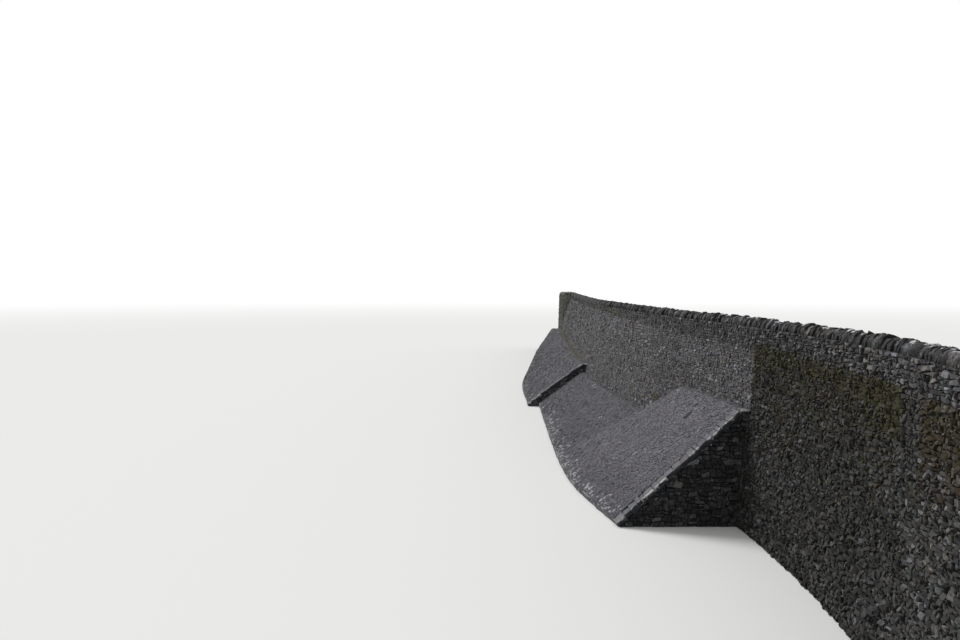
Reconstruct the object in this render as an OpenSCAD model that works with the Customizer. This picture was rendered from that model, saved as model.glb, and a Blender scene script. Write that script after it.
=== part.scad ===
// Dry stone retaining wall of an embankment, 1:10 scale model, millimetres.
// A warped, leaning wall carries a plumb parapet and a cope of stones on edge.
// Raking aprons of pitched stone lean on its foot, closed by cheek walls.
// Places along the wall are measured from its near end, the run.

/* [Run] */
// Length of the outer half of the plain near stretch
near_outer_len = 1200; // [900:50:1500]
// Length of the inner half of the plain near stretch
near_inner_len = 1250; // [900:50:1600]
// Length of the first bay, whose apron stands highest
first_bay_len = 1650; // [1400:50:2000]
// Length of the second bay
second_bay_len = 2500; // [2000:50:3000]
// Length of the third bay
third_bay_len = 3100; // [2500:50:3600]
// Length of the fourth bay
fourth_bay_len = 3260; // [2600:20:3800]
// Length of the pier that ends the wall
pier_len = 840; // [500:20:1200]

/* [Plan] */
// Sideways place of the wall's top line at the near end, towards its back
plan_near_end = -5; // [-60:5:60]
// Sideways place of the top line at the joint in the near stretch
plan_joint = 155; // [110:5:200]
// Sideways place of the top line at the corner where the first apron starts
plan_corner = 165; // [120:5:210]
// Sideways place of the top line where the second bay starts
plan_second = 50; // [20:5:90]
// Sideways place of the top line where the third bay starts
plan_third = 0; // [-30:5:40]
// Sideways place of the top line where the fourth bay starts
plan_fourth = 140; // [90:5:180]
// Sideways place of the top line at the pier
plan_pier = 330; // [260:5:380]
// Sideways place of the top line at the far end
plan_far_end = 360; // [300:5:420]

/* [Wall] */
// Height from the ground to the top of the cope
wall_h = 895; // [800:5:1000]
// Thickness of the leaning wall at its top
wall_top_t = 80; // [65:1:110]
// Batter at the near end, sideways lean for each unit of height
batter_near = 0.085; // [0.05:0.005:0.12]
// Batter at the corner where the first apron starts
batter_corner = 0.096; // [0.06:0.002:0.14]
// Batter where the third bay starts
batter_third = 0.232; // [0.16:0.002:0.26]
// Batter at the far end of the fourth bay
batter_far = 0.32; // [0.24:0.01:0.36]

/* [Parapet and cope] */
// Thickness of the plumb parapet
parapet_t = 56; // [45:1:64]
// Height of the parapet courses over the near stretch
parapet_near_h = 100; // [60:5:130]
// Height of the parapet courses over the far bays
parapet_far_h = 42; // [30:2:58]
// Height of the cope stones
cope_h = 40; // [25:1:50]
// Width that the rounded top of the cope falls over on each side
cope_shoulder = 20; // [12:1:22]

/* [Aprons] */
// Depth of the first apron's head below the top of the cope
first_head_depth = 390; // [340:10:460]
// Depth of the second apron's head below the top of the cope
second_head_depth = 610; // [560:5:660]
// Depth of the head of the third and fourth aprons below the top of the cope
third_head_depth = 535; // [480:5:600]
// Run over which the first apron's head drops to the second one's
head_drop_len = 730; // [400:10:900]
// Width of the level ledge at the head of the aprons
ledge_w = 36; // [20:2:60]
// Width of the ledge where it has widened at the far end of the fourth apron
ledge_far_w = 130; // [80:5:150]
// Height of the toe course
toe_h = 27; // [26:1:45]
// Width of the toe course
toe_w = 42; // [30:2:60]
// Thickness of the cheek walls that close an apron's end
cheek_t = 60; // [40:2:90]
// Thickness of the edge stones laid on a cheek, measured upright
edge_t = 19; // [12:1:24]
// Height that the edge stones stand above the pitched slope
edge_up = 5; // [2:1:9]

/* [Toe] */
// Reach of the toe in front of the plan's zero line, at the first cheek
toe_first = 417; // [390:3:450]
// Reach of the toe at the middle of the first bay
toe_first_mid = 527; // [490:1:560]
// Reach of the toe where the second bay starts
toe_second = 548; // [520:2:580]
// Reach of the toe where the second bay ends
toe_second_end = 510; // [480:5:540]
// Reach of the toe at the cheek of the third bay
toe_third = 600; // [570:5:640]
// Reach of the toe at the middle of the third bay
toe_third_mid = 585; // [555:5:610]
// Reach of the toe where the fourth bay starts
toe_fourth = 458; // [430:2:500]
// Reach of the toe at the far cheek
toe_far = 172; // [150:2:230]

/* [Pier] */
// Distance that the pier's face stands in front of the leaning wall's top line
pier_proud = 100; // [60:5:140]
// Batter of the pier's face
pier_batter = 0.03; // [0:0.01:0.06]

/* [Smoothness] */
// Greatest gap between two sections of a bent piece
section_gap = 260; // [150:10:600]

/* [Hidden] */

wall_grey = [0.42, 0.42, 0.43];
parapet_grey = [0.32, 0.32, 0.31];
cope_grey = [0.58, 0.58, 0.57];
slope_grey = [0.50, 0.49, 0.52];
cheek_dark = [0.24, 0.23, 0.22];
edge_pale = [0.72, 0.71, 0.68];

// Places along the run where one stretch ends and the next starts
s_near = 0;
s_joint = s_near + near_outer_len;
s_corner = s_joint + near_inner_len;
s_second = s_corner + first_bay_len;
s_third = s_second + second_bay_len;
s_fourth = s_third + third_bay_len;
s_pier = s_fourth + fourth_bay_len;
s_end = s_pier + pier_len;
// The first apron's head starts to drop here
s_drop = s_second - head_drop_len;

// Sections of a stretch, evenly spaced from one place of the run to another
function spread(a, b) =
    let (n = ceil((b - a) / section_gap))
        [for (i = [0:n]) a + (b - a) * i / n];
// The same without the first section, to carry a stretch on past a shared one
function onward(a, b) = [for (s = spread(a, b)) if (s > a) s];

near_outer_at = spread(s_near, s_joint);
near_inner_at = spread(s_joint, s_corner);
first_cheek_at = [s_corner, s_corner + cheek_t];
first_slope_at = concat(spread(s_corner + cheek_t, s_drop), onward(s_drop, s_second));
first_at = concat([s_corner], first_slope_at);
second_at = spread(s_second, s_third);
third_cheek_at = [s_third, s_third + cheek_t];
third_slope_at = spread(s_third + cheek_t, s_fourth);
third_at = concat([s_third], third_slope_at);
fourth_slope_at = spread(s_fourth, s_pier - cheek_t);
fourth_at = concat(fourth_slope_at, [s_pier]);
fourth_cheek_at = [s_pier - cheek_t, s_pier];
pier_at = spread(s_pier, s_end);

// Smooth curve through knots [place, value]: a cubic between each two of them, whose
// slope at a knot is that of the line between the knots on either side
function knot_slope(k, i) =
    let (a = k[max(i - 1, 0)], b = k[min(i + 1, len(k) - 1)])
        (b[1] - a[1]) / (b[0] - a[0]);
function knot_before(k, s) = max([for (i = [0:len(k) - 2]) if (k[i][0] <= s || i == 0) i]);
function through(k, s) =
    let (
        i = knot_before(k, s),
        span = k[i + 1][0] - k[i][0],
        u = (s - k[i][0]) / span,
        lift = 3 * u * u - 2 * u * u * u,
        start_pull = u * (1 - u) * (1 - u) * span * knot_slope(k, i),
        end_pull = u * u * (1 - u) * span * knot_slope(k, i + 1)
    )
        k[i][1] + (k[i + 1][1] - k[i][1]) * lift + start_pull - end_pull;

plan_knots = [
    [s_near, plan_near_end],
    [s_joint, plan_joint],
    [s_corner, plan_corner],
    [s_second, plan_second],
    [s_third, plan_third],
    [s_fourth, plan_fourth],
    [s_pier, plan_pier],
    [s_end, plan_far_end]
];

batter_knots = [
    [s_near, batter_near],
    [s_corner, batter_corner],
    [s_third, batter_third],
    [s_pier, batter_far]
];

near_toe_knots = [
    [s_corner, -toe_first],
    [(s_corner + s_second) / 2, -toe_first_mid],
    [s_second, -toe_second],
    [s_third, -toe_second_end]
];

far_toe_knots = [
    [s_third, -toe_third],
    [(s_third + s_fourth) / 2, -toe_third_mid],
    [s_fourth, -toe_fourth],
    [s_pier, -toe_far]
];

// Straight runs: the parapet's height, the drop of the first apron's head and the ledge
parapet_heights = [[s_corner, parapet_near_h], [s_third, parapet_far_h]];
near_head_depths = [[s_drop, first_head_depth], [s_second, second_head_depth]];
ledge_widths = [[s_fourth, ledge_w], [s_pier, ledge_far_w]];

// Top line, batter and leaning face of the wall at a place of the run
cope_base = wall_h - cope_h;
function line_y(s) = through(plan_knots, s);
function batter(s) = through(batter_knots, min(s, s_pier));
function parapet_base(s) = cope_base - lookup(s, parapet_heights);
function face_y(s, z) = line_y(s) - batter(s) * (parapet_base(s) - z);

// Level of an apron's head and sideways place of its toe
function near_head(s) = wall_h - lookup(s, near_head_depths);
function far_head(s) = wall_h - third_head_depth;
function near_toe(s) = through(near_toe_knots, s);
function far_toe(s) = through(far_toe_knots, s);

// The part's base has its middle at the origin
front_y = min(
    min([for (s = concat(first_at, second_at)) near_toe(s)]),
    min([for (s = concat(third_at, fourth_at)) far_toe(s)])
);
back_y = wall_top_t + max([
    for (s = concat(near_outer_at, near_inner_at, fourth_at, pier_at)) line_y(s)
]);
function place_x(s) = s_end / 2 - s;
function place_y(y) = y - (front_y + back_y) / 2;

// Whether one point of a section lies above another, or behind it at the same level
function above(p, q) = p[1] > q[1] || (p[1] == q[1] && p[0] > q[0]);

// The same triangle seen from its other side
function turned(t) = [t[2], t[1], t[0]];

// Skin over upright sections with equal numbers of points, one section a place. Each
// side patch is cut from its upper corner on one section to its lower one on the next,
// so that pieces that share a surface meet face to face. The ends are fans about the
// last point of their section, which lies off the straight line of the leaning face.
module loft(at, sections, leftward = false) {
    n = len(sections[0]);
    m = len(sections);
    points = [
        for (i = [0:m - 1])
            for (p = sections[i])
                [place_x(at[i]), place_y(p[0]), p[1]]
    ];
    sides = [
        for (i = [0:m - 2])
            for (j = [0:n - 1])
                let (
                    k = (j + 1) % n,
                    a = i * n + j,
                    b = i * n + k,
                    c = b + n,
                    d = a + n,
                    halves = above(sections[i][j], sections[i][k])
                        ? [[a, b, c], [a, c, d]]
                        : [[a, b, d], [b, c, d]]
                )
                    for (t = halves)
                        leftward ? t : turned(t)
    ];
    fan = [for (j = [0:n - 3]) [n - 1, j, j + 1]];
    last = (m - 1) * n * [1, 1, 1];
    first_end = [for (t = fan) leftward ? turned(t) : t];
    last_end = [for (t = fan) leftward ? t + last : turned(t + last)];
    polyhedron(points = points, faces = concat(sides, first_end, last_end));
}

// A point of the leaning face at a level
function on_face(s, z) = [face_y(s, z), z];

// Leaning wall: foot, the level of an apron's head, parapet base, plumb back
function wall_section(s, head) = [
    on_face(s, 0),
    on_face(s, head),
    [line_y(s), parapet_base(s)],
    [line_y(s) + wall_top_t, parapet_base(s)],
    [line_y(s) + wall_top_t, 0]
];

// Plumb courses between the leaning wall and the cope
function parapet_section(s) = [
    [line_y(s), parapet_base(s)],
    [line_y(s), cope_base],
    [line_y(s) + parapet_t, cope_base],
    [line_y(s) + parapet_t, parapet_base(s)]
];

// Row of stones on edge with rounded tops, from a front line to a back line. Each
// shoulder is a quarter of an ellipse that takes three quarters of the stones' height.
cope_round_h = cope_h * 3 / 4;
function shoulder_in(a) = cope_shoulder * (1 - cos(a));
function shoulder_z(a) = wall_h - cope_round_h * (1 - sin(a));
function cope_section(front, back) = concat(
    [[front, cope_base]],
    [for (a = [0:30:90]) [front + shoulder_in(a), shoulder_z(a)]],
    [for (a = [90:-30:0]) [back - shoulder_in(a), shoulder_z(a)]],
    [[back, cope_base]]
);

// Outer edge of the ledge at an apron's head, and level of the slope below it
function ledge_y(s, head) = face_y(s, head) - lookup(s, ledge_widths);
function slope_z(s, head, toe, y) =
    toe_h + (head - toe_h) * (y - toe) / (ledge_y(s, head) - toe);

// Body of an apron: back against the wall, ledge, pitched slope, back of the toe course
function slope_section(s, head, toe) = [
    on_face(s, 0),
    on_face(s, head),
    [ledge_y(s, head), head],
    [toe + toe_w, slope_z(s, head, toe, toe + toe_w)],
    [toe + toe_w, 0]
];

// Heavy course along the foot of the slope
function toe_section(s, head, toe) = [
    [toe + toe_w, 0],
    [toe + toe_w, slope_z(s, head, toe, toe + toe_w)],
    [toe, toe_h],
    [toe, 0]
];

// Cheek wall under its edge stones
function cheek_section(s, head, toe) = [
    on_face(s, 0),
    on_face(s, head - edge_t),
    [ledge_y(s, head), head - edge_t],
    [toe, toe_h - edge_t],
    [toe, 0]
];

// Edge stones along the ledge and down the rake of a cheek
function edge_section(s, head, toe) = [
    on_face(s, head - edge_t),
    on_face(s, head + edge_up),
    [ledge_y(s, head), head + edge_up],
    [toe, toe_h + edge_up],
    [toe, toe_h - edge_t],
    [ledge_y(s, head), head - edge_t]
];

module wall_by_near_aprons(at) {
    color(wall_grey)
        loft(at, [for (s = at) wall_section(s, near_head(s))]);
}

module wall_by_far_aprons(at) {
    color(wall_grey)
        loft(at, [for (s = at) wall_section(s, far_head(s))]);
}

module parapet(at) {
    color(parapet_grey)
        loft(at, [for (s = at) parapet_section(s)]);
}

module cope(at) {
    color(cope_grey)
        loft(at, [for (s = at) cope_section(line_y(s), line_y(s) + parapet_t)]);
}

module near_slope(at) {
    color(slope_grey)
        loft(at, [for (s = at) slope_section(s, near_head(s), near_toe(s))], leftward = true);
}

module far_slope(at) {
    color(slope_grey)
        loft(at, [for (s = at) slope_section(s, far_head(s), far_toe(s))], leftward = true);
}

module near_toe_course(at) {
    color(slope_grey)
        loft(at, [for (s = at) toe_section(s, near_head(s), near_toe(s))], leftward = true);
}

module far_toe_course(at) {
    color(slope_grey)
        loft(at, [for (s = at) toe_section(s, far_head(s), far_toe(s))], leftward = true);
}

module near_cheek(at) {
    color(cheek_dark)
        loft(at, [for (s = at) cheek_section(s, near_head(s), near_toe(s))], leftward = true);
}

module far_cheek(at) {
    color(cheek_dark)
        loft(at, [for (s = at) cheek_section(s, far_head(s), far_toe(s))], leftward = true);
}

module near_edge(at) {
    color(edge_pale)
        loft(at, [for (s = at) edge_section(s, near_head(s), near_toe(s))], leftward = true);
}

module far_edge(at) {
    color(edge_pale)
        loft(at, [for (s = at) edge_section(s, far_head(s), far_toe(s))], leftward = true);
}

// The pier's face keeps one straight line over its whole length
pier_line = line_y(s_pier) - pier_proud;
pier_parapet_base = parapet_base(s_pier);
function pier_face(z) = [pier_line - pier_batter * (cope_base - z), z];

module end_pier_wall() {
    color(wall_grey)
        loft(pier_at, [for (s = pier_at) [
            pier_face(0),
            pier_face(pier_parapet_base),
            [line_y(s) + wall_top_t, pier_parapet_base],
            [line_y(s) + wall_top_t, 0]
        ]]);
}

module end_pier_parapet() {
    color(parapet_grey)
        loft(pier_at, [for (s = pier_at) [
            pier_face(pier_parapet_base),
            pier_face(cope_base),
            [line_y(s) + parapet_t, cope_base],
            [line_y(s) + parapet_t, pier_parapet_base]
        ]]);
}

module end_pier_cope() {
    color(cope_grey)
        loft(pier_at, [for (s = pier_at) cope_section(pier_line, line_y(s) + parapet_t)]);
}

module near_outer_wall() { wall_by_near_aprons(near_outer_at); }
module near_outer_parapet() { parapet(near_outer_at); }
module near_outer_cope() { cope(near_outer_at); }
module near_inner_wall() { wall_by_near_aprons(near_inner_at); }
module near_inner_parapet() { parapet(near_inner_at); }
module near_inner_cope() { cope(near_inner_at); }
module first_bay_wall() { wall_by_near_aprons(first_at); }
module first_bay_parapet() { parapet(first_at); }
module first_bay_cope() { cope(first_at); }
module second_bay_wall() { wall_by_near_aprons(second_at); }
module second_bay_parapet() { parapet(second_at); }
module second_bay_cope() { cope(second_at); }
module third_bay_wall() { wall_by_far_aprons(third_at); }
module third_bay_parapet() { parapet(third_at); }
module third_bay_cope() { cope(third_at); }
module fourth_bay_wall() { wall_by_far_aprons(fourth_at); }
module fourth_bay_parapet() { parapet(fourth_at); }
module fourth_bay_cope() { cope(fourth_at); }

module first_apron_slope() { near_slope(first_slope_at); }
module first_apron_toe() { near_toe_course(first_slope_at); }
module second_apron_slope() { near_slope(second_at); }
module second_apron_toe() { near_toe_course(second_at); }
module third_apron_slope() { far_slope(third_slope_at); }
module third_apron_toe() { far_toe_course(third_slope_at); }
module fourth_apron_slope() { far_slope(fourth_slope_at); }
module fourth_apron_toe() { far_toe_course(fourth_slope_at); }
module first_apron_cheek() { near_cheek(first_cheek_at); }
module first_apron_edge() { near_edge(first_cheek_at); }
module third_apron_cheek() { far_cheek(third_cheek_at); }
module third_apron_edge() { far_edge(third_cheek_at); }
module fourth_apron_cheek() { far_cheek(fourth_cheek_at); }
module fourth_apron_edge() { far_edge(fourth_cheek_at); }

near_outer_wall();
near_outer_parapet();
near_outer_cope();
near_inner_wall();
near_inner_parapet();
near_inner_cope();
first_bay_wall();
first_bay_parapet();
first_bay_cope();
second_bay_wall();
second_bay_parapet();
second_bay_cope();
third_bay_wall();
third_bay_parapet();
third_bay_cope();
fourth_bay_wall();
fourth_bay_parapet();
fourth_bay_cope();
end_pier_wall();
end_pier_parapet();
end_pier_cope();
first_apron_slope();
second_apron_slope();
third_apron_slope();
fourth_apron_slope();
first_apron_toe();
second_apron_toe();
third_apron_toe();
fourth_apron_toe();
first_apron_cheek();
third_apron_cheek();
fourth_apron_cheek();
first_apron_edge();
third_apron_edge();
fourth_apron_edge();
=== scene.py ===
# Dry stone retaining wall with raking aprons, a 1:10 scale model, in metres.
# The frame holds its masonry as plain solids, and every stone that shows is laid on them here.

import math

import bpy
import numpy as np
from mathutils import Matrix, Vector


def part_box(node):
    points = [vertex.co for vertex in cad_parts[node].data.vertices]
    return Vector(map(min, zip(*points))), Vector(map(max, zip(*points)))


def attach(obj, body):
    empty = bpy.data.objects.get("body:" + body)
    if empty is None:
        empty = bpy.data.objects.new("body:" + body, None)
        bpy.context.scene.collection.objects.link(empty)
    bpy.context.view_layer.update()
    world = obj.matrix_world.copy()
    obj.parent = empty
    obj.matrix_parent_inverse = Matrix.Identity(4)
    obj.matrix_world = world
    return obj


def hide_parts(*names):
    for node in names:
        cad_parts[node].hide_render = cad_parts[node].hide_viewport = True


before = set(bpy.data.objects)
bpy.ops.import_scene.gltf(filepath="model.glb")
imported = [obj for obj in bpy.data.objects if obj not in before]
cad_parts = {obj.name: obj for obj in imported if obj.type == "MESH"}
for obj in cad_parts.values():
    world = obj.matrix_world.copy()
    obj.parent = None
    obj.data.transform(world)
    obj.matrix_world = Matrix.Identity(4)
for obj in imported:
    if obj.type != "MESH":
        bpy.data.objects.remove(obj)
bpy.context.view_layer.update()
scene = bpy.context.scene
scene.view_settings.view_transform = "Standard"


# The view along the run, from past its near end and off its outer face: the eye is 1.55 m
# above the cope at full size, and looks a little down.
eye = (8.70, -0.93, 1.05)
look_down = 2.2
sensor_mm = 36
lens_mm = 37.5
nearest_seen = 0.05
furthest_seen = 300

camera = bpy.data.objects.new("camera", bpy.data.cameras.new("camera"))
camera.data.sensor_width = sensor_mm
camera.data.lens = lens_mm
camera.data.clip_start = nearest_seen
camera.data.clip_end = furthest_seen
camera.location = eye
camera.rotation_euler = (math.radians(90 - look_down), 0, math.radians(90))
scene.collection.objects.link(camera)
scene.camera = camera


# The studio: a pale level floor that fades to white far off, an even white sky, and one
# broad soft lamp from high up beyond the far end, so that faces turned back lie in shade.
floor_half = 90.0
floor_fades = (12.0, 45.0)
floor_tone = (0.80, 0.80, 0.79, 1)
floor_bounce = (0.25, 0.25, 0.24, 1)
plain_white = (1, 1, 1, 1)
sky_strength = 0.60
lamp_strength = 2.3
lamp_spread = 28
lamp_from = (-0.62, -0.50, 0.60)


def put(tree, kind, inputs=None, **settings):
    """Adds a node and gives its outputs. Each input, by name or number, takes a value or an output."""
    made = tree.nodes.new(kind)
    for key, value in settings.items():
        setattr(made, key, value)
    for key, value in (inputs or {}).items():
        if isinstance(value, bpy.types.NodeSocket):
            tree.links.new(value, made.inputs[key])
        else:
            made.inputs[key].default_value = value
    return made.outputs


def number(tree, operation, *values):
    """A sum, product or the like of numbers, each given or from a socket."""
    return put(tree, "ShaderNodeMath", dict(enumerate(values)), operation=operation)[0]


def between(tree, value, low, high, to_low=0.0, to_high=1.0, **settings):
    """A number spread from one range to another and held inside it."""
    inputs = {0: value, 1: low, 2: high, 3: to_low, 4: to_high}
    return put(tree, "ShaderNodeMapRange", inputs, **settings)[0]


def to_screen(tree):
    """1 on rays that draw the background seen directly, in a gloss or through glass."""
    path = put(tree, "ShaderNodeLightPath")
    direct = number(tree, "MAXIMUM", path["Is Camera Ray"], path["Is Glossy Ray"])
    return number(tree, "MAXIMUM", direct, path["Is Transmission Ray"])


sky = bpy.data.worlds.new("sky")
sky.use_nodes = True
tree = sky.node_tree
tree.nodes.clear()
lit = put(tree, "ShaderNodeBackground", {"Color": plain_white, "Strength": sky_strength})[0]
seen = put(tree, "ShaderNodeBackground", {"Color": plain_white, "Strength": 1.0})[0]
sky_mix = put(tree, "ShaderNodeMixShader", {0: to_screen(tree), 1: lit, 2: seen})[0]
put(tree, "ShaderNodeOutputWorld", {"Surface": sky_mix})
scene.world = sky

lamp = bpy.data.objects.new("lamp", bpy.data.lights.new("lamp", "SUN"))
lamp.data.energy = lamp_strength
lamp.data.angle = math.radians(lamp_spread)
lamp.rotation_euler = (
    math.acos(lamp_from[2] / math.dist(lamp_from, (0, 0, 0))),
    0,
    math.atan2(lamp_from[1], lamp_from[0]) + math.radians(90),
)
scene.collection.objects.link(lamp)

pale_floor = bpy.data.materials.new("pale_floor")
pale_floor.use_nodes = True
tree = pale_floor.node_tree
tree.nodes.clear()
seat = put(tree, "ShaderNodeTexCoord")["Object"]
away = put(tree, "ShaderNodeVectorMath", {0: seat}, operation="LENGTH")["Value"]
fade = between(tree, away, *floor_fades, interpolation_type="SMOOTHSTEP")
near_floor = put(tree, "ShaderNodeBsdfDiffuse", {"Color": floor_tone})[0]
bounced = put(tree, "ShaderNodeBsdfDiffuse", {"Color": floor_bounce})[0]
far_floor = put(tree, "ShaderNodeEmission", {"Color": plain_white, "Strength": 1.0})[0]
shown = put(tree, "ShaderNodeMixShader", {0: fade, 1: near_floor, 2: far_floor})[0]
floor_mix = put(tree, "ShaderNodeMixShader", {0: to_screen(tree), 1: bounced, 2: shown})[0]
put(tree, "ShaderNodeOutputMaterial", {"Surface": floor_mix})

floor_mesh = bpy.data.meshes.new("floor")
floor_corners = [(x * floor_half, y * floor_half, 0) for x, y in ((-1, -1), (1, -1), (1, 1), (-1, 1))]
floor_mesh.from_pydata(floor_corners, [], [(0, 1, 2, 3)])
floor_mesh.materials.append(pale_floor)
floor = bpy.data.objects.new("floor", floor_mesh)
scene.collection.objects.link(floor)


# Hearting: the small stone and dirt packed deep in the open joints. It is all that shows of
# the frame's own solids, between the stones laid on them, and its near-black colour is partly
# painted shade of the deep joints.
def noise(tree, at, scale, detail, rough=0.5):
    """Even cloudy noise from 0 to 1."""
    inputs = {"Vector": at, "Scale": scale, "Detail": detail, "Roughness": rough}
    return put(tree, "ShaderNodeTexNoise", inputs)[0]


def tint(tree, fac, low, high, **settings):
    """A colour between two, each given or from a socket."""
    return put(tree, "ShaderNodeMix", {0: fac, 6: low, 7: high}, data_type="RGBA", **settings)[2]


def rough_material(name, roughness):
    """A new rough material: itself, its tree and its one shader."""
    made = bpy.data.materials.new(name)
    made.use_nodes = True
    shader = made.node_tree.nodes["Principled BSDF"]
    shader.inputs["Roughness"].default_value = roughness
    return made, made.node_tree, shader


def face_on(tree, shader, tone, height, strength, distance):
    """Gives a shader its colour, and a bump as deep as a height times a distance."""
    bump = put(tree, "ShaderNodeBump", {"Height": height, "Strength": strength, "Distance": distance})
    tree.links.new(tone, shader.inputs["Base Color"])
    tree.links.new(bump[0], shader.inputs["Normal"])


# Dark earth and chips, near black partly as painted shade: noise between two browns, with a coarse bump
hearting_and_shade, tree, shader = rough_material("hearting_and_shade", 1.0)
grit = noise(tree, put(tree, "ShaderNodeTexCoord")["Object"], 260.0, 4.0)
earth_and_shade = tint(tree, grit, (0.006, 0.005, 0.005, 1), (0.018, 0.016, 0.014, 1))
face_on(tree, shader, earth_and_shade, grit, strength=0.8, distance=0.002)
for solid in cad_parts.values():
    solid.data.materials.clear()
    solid.data.materials.append(hearting_and_shade)


# The leaning wall and its plumb parapet: one bond of grey limestone rubble in rough courses,
# laid dry, about 0.3 m by 0.15 m at full size. The near stretch is darker, and olive moss runs
# down it from under the parapet. The plumb back is laid with larger stones.
STRETCHES = ["near_outer", "near_inner", "first_bay", "second_bay", "third_bay", "fourth_bay"]
NEAR_DETAIL = {"points": 8, "rise": 0.0070, "gap": 0.0020}
PLAIN = {"points": 4, "tip": False, "soft": 0.5}
DETAIL = {
    "near_outer": NEAR_DETAIL,
    "near_inner": NEAR_DETAIL,
    "first_bay": {"points": 6, "tip": False, "gap": 0.0018, "soft": 0.4, "pale": 0.013},
    "second_bay": {**PLAIN, "gap": 0.0017, "pale": 0.012},
    "third_bay": {**PLAIN, "soft": 1.15, "pale": 0.004},
    "fourth_bay": {**PLAIN, "soft": 1.5, "pale": 0.002},
}
near_course = 0.0132
near_stone_len = 0.023
wall_course = 0.0158
wall_stone_len = 0.032
back_course = 0.024
back_stone_len = 0.046
bench_stone_len = 0.034
least_course = 0.006
least_stone = 0.004
sunk = 0.002
hair = 1e-4
near_end, _, corner_x, second_x, third_x, fourth_x = (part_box(s + "_wall")[1].x for s in STRETCHES)
far_end, pier_x = (corner.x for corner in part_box("end_pier_wall"))
cope_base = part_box("near_outer_cope")[0].z
# Pulls in y and z that find one corner of an upright section: the low or high one of its outer
# side, of its inner side, or of the face that its toe stands out to
OUTER_LOW, OUTER_HIGH = (-1, -1000), (-1, 1000)
INNER_LOW, INNER_HIGH = (1, -1000), (1, 1000)
TOE_LOW, TOE_HIGH = (-1000, -1), (-1000, 1)


def corner_line(nodes, side):
    """The corner that a side's pull finds on every upright section of some nodes, by x."""
    found = []
    for name in nodes:
        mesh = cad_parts[name].data
        points = np.zeros(len(mesh.vertices) * 3, np.float32)
        mesh.vertices.foreach_get("co", points)
        found.append(points.reshape(-1, 3).astype(float).round(5))
    points = np.unique(np.concatenate(found), axis=0)
    pull = points[:, 1] * side[0] + points[:, 2] * side[1]
    points = points[np.lexsort((pull, points[:, 0]))]
    return points[np.flatnonzero(np.diff(points[:, 0], append=np.inf) > hair)]


def skin(low, high, low_v=None, high_v=None, behind=False):
    """Places on the flat halves of the patches between two corner lines.

    u runs rightwards as seen from outside, along x or against it behind, and v is the height, or
    runs between the values given for the two lines. Each patch is cut from its lower far corner to
    its upper near one: a point p of the way along and q of the way up is reached along the low line
    and then up, or up and then along.
    """
    if high_v is None:
        low_v, high_v = low[:, 2], high[:, 2]

    def place(u, v):
        x = low[-1, 0] - u if behind else low[0, 0] + u
        i = np.clip(np.searchsorted(low[:, 0], x) - 1, 0, len(low) - 2)
        p = (x - low[i, 0]) / (low[i + 1, 0] - low[i, 0])
        v0 = np.interp(x, low[:, 0], low_v)
        v1 = np.interp(x, low[:, 0], high_v)
        q = (v - v0) / (v1 - v0)
        p, q = p[..., None], q[..., None]
        under = low[i] + p * (low[i + 1] - low[i]) + q * (high[i + 1] - low[i + 1])
        over = low[i] + q * (high[i] - low[i]) + p * (high[i + 1] - high[i])
        return np.where(q <= p, under, over)

    return place


def blended(corners, s, t):
    """Between four corners, anticlockwise: a share s of the way along and t of the way up."""
    foot = corners[0] * (1 - s) + corners[1] * s
    head = corners[3] * (1 - s) + corners[2] * s
    return foot * (1 - t) + head * t


def panel(low_left, low_right, high_right, high_left):
    """Places on a flat panel between four corners: u along its foot and v up its left side."""
    corners = np.array([low_left, low_right, high_right, high_left], float)
    width = np.linalg.norm(corners[1] - corners[0])
    height = np.linalg.norm(corners[3] - corners[0])

    def place(u, v):
        return blended(corners, (u / width)[..., None], (v / height)[..., None])

    return place, width, height


def courses(rng, width, height, course, length, split=0.20, bend=0.41, big=0.06, tilt=0.3):
    """Cells of rough coursed rubble on a sheet: corners u and v, (cells, 4), anticlockwise.

    Course lines are a running sum of nearly even heights, each bent at random knots less than a
    stone apart, by up to a share bend of a course. Upright joints are a running sum of random
    lengths, and lean by up to a share tilt of a course. A share split of the cells is cut into two
    thin stones, and a share big grows into big stones that lap over their neighbours.
    """
    rows = int(height / course * 1.15) + 3
    lines = np.concatenate([[0], np.cumsum(course * rng.uniform(0.86, 1.14, rows))])
    knot = length * 0.8
    bends = course * bend * rng.uniform(-1, 1, (rows + 1, int(width / knot) + 3))
    bends[0] = 0

    def line_at(k, u):
        """The height of course line k at u: its own, and its bend between two knots."""
        place = u / knot
        i = place.astype(int)
        return lines[k] + bends[k, i] * (1 - place + i) + bends[k, i + 1] * (place - i)

    count = int(width / length * 1.15) + 6
    joints = np.cumsum(length * rng.uniform(0.42, 1.58, (rows, count)), axis=1)
    joints -= length * rng.uniform(1, 2, (rows, 1))
    lean = course * rng.uniform(-tilt, tilt, (rows, count))
    k = np.arange(rows)[:, None]
    foot_u, head_u = np.clip(joints - lean, 0, width), np.clip(joints + lean, 0, width)
    u = np.stack([foot_u[:, :-1], foot_u[:, 1:], head_u[:, 1:], head_u[:, :-1]], axis=-1)
    v = np.stack([line_at(k + up, u[..., corner]) for corner, up in enumerate((0, 0, 1, 1))], axis=-1)
    u, v = u.reshape(-1, 4), v.reshape(-1, 4)
    kept = (u[:, 1] - u[:, 0] > length * 0.25) & (v.min(axis=1) < height)
    cells = np.stack([u[kept], v[kept]])
    cut = rng.random(cells.shape[1]) < split
    share = rng.uniform(0.36, 0.64, (int(cut.sum()), 1))
    low, top = cells[:, cut].copy(), cells[:, cut].copy()
    middle = low[..., [3, 2]] * share + low[..., [0, 1]] * (1 - share)
    low[..., 2:], top[..., :2] = middle[..., ::-1], middle
    cells = np.concatenate([cells[:, ~cut], low, top], axis=1)
    grown = rng.random(cells.shape[1]) < big
    size = np.where(grown, np.array([[1.18], [1.42]]), 1.0)[..., None]
    centre = cells.mean(axis=2, keepdims=True)
    return centre + (cells - centre) * size


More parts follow.
